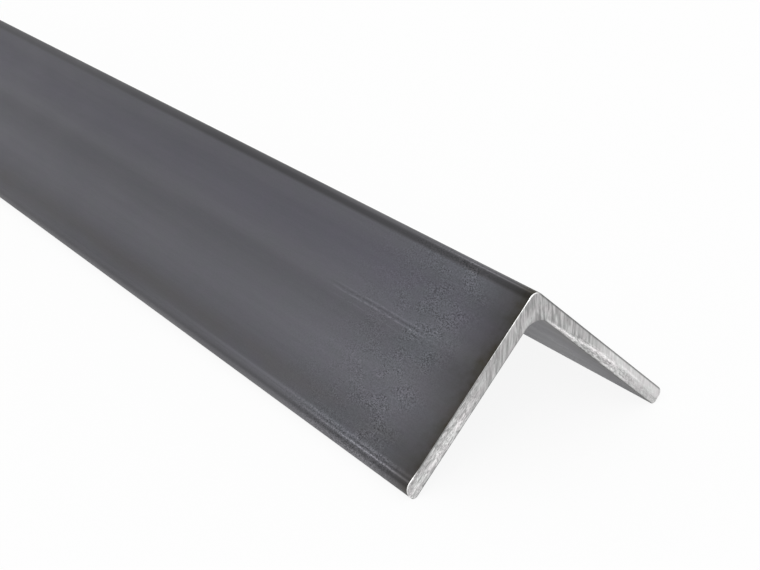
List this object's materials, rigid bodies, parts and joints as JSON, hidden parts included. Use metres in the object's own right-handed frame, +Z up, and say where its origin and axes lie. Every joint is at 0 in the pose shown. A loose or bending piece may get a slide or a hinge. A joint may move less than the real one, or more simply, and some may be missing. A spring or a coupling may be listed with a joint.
{
  "type": "steel angle section",
  "caption": "Hot-rolled equal angle bar with mill scale and square-sawn bright ends, stock for frames, brackets and edging.",
  "frame": {"origin": "on the floor under the ridge, halfway along the length", "axes": "+Z up, through the heel of the angle standing as a roof on its two toes; +Y along the length, away from the front sawn end; +X to the right leg's side"},
  "size_m": [0.069, 0.5, 0.0369],
  "materials": {
    "mill_scale_steel": "hot-rolled, dark blue-grey mill scale along the legs, bright saw-marked metal on both ends"
  },
  "bodies": {
    "root": {"angle_section": "mill_scale_steel"}
  },
  "joints": []
}
